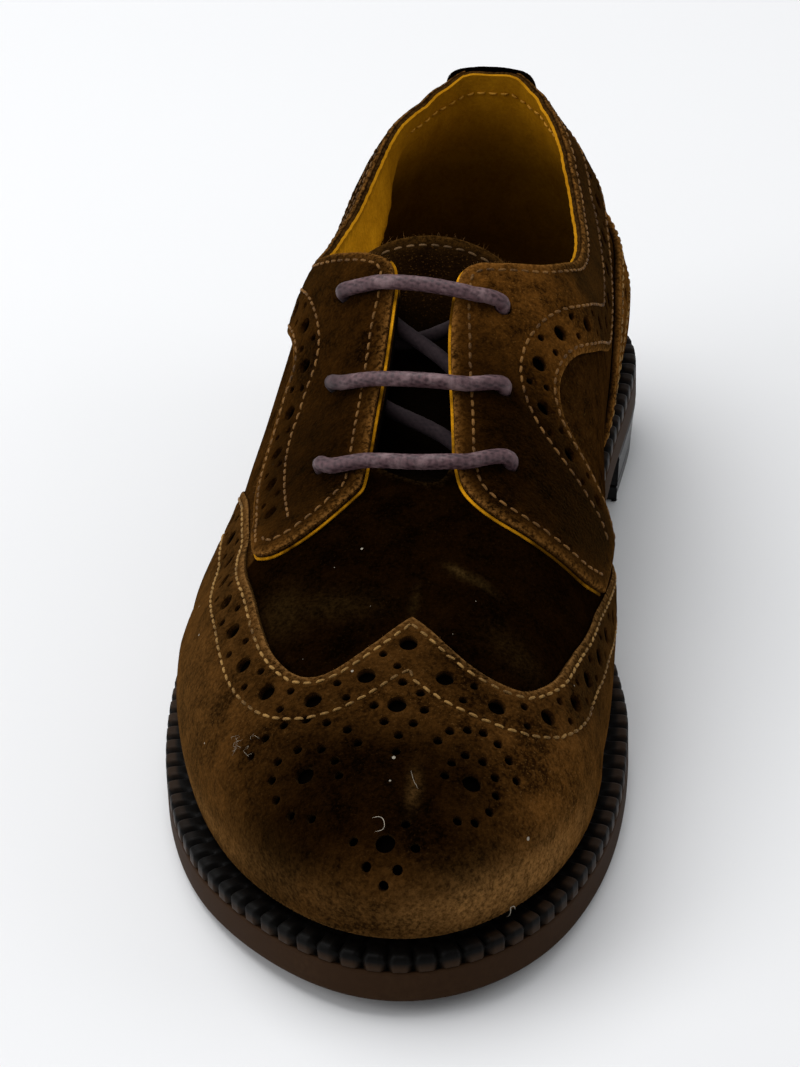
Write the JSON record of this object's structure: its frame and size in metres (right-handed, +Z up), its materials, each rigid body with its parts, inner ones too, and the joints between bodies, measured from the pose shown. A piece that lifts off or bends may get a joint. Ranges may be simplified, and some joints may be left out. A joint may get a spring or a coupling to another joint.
{
  "type": "derby shoe",
  "caption": "Child's wing-tip derby shoe for the right foot: brown suede upper laced over a tongue, punched toe cap and counter, dark ribbed welt, thin outsole and low heel.",
  "frame": {"origin": "middle of the shoe's plan box, on the floor plane under the heel and the tread", "axes": "+Z up, the toe towards -Y, the medial side towards +X"},
  "size_m": [0.0806, 0.2106, 0.0707],
  "materials": {
    "suede": "matte nap",
    "dark_suede": "matte nap",
    "welt": "satin",
    "outsole": "satin",
    "heel": "gloss",
    "lining": "matte",
    "lace": "waxed"
  },
  "bodies": {
    "root": {"outsole": "outsole", "heel": "heel", "welt": "welt", "insole": "lining", "upper": "suede", "wing_cap": "suede", "counter": "suede", "facing_lateral": "suede", "facing_medial": "suede", "back_strip": "dark_suede", "tongue": "dark_suede", "lace": "lace"}
  },
  "joints": []
}
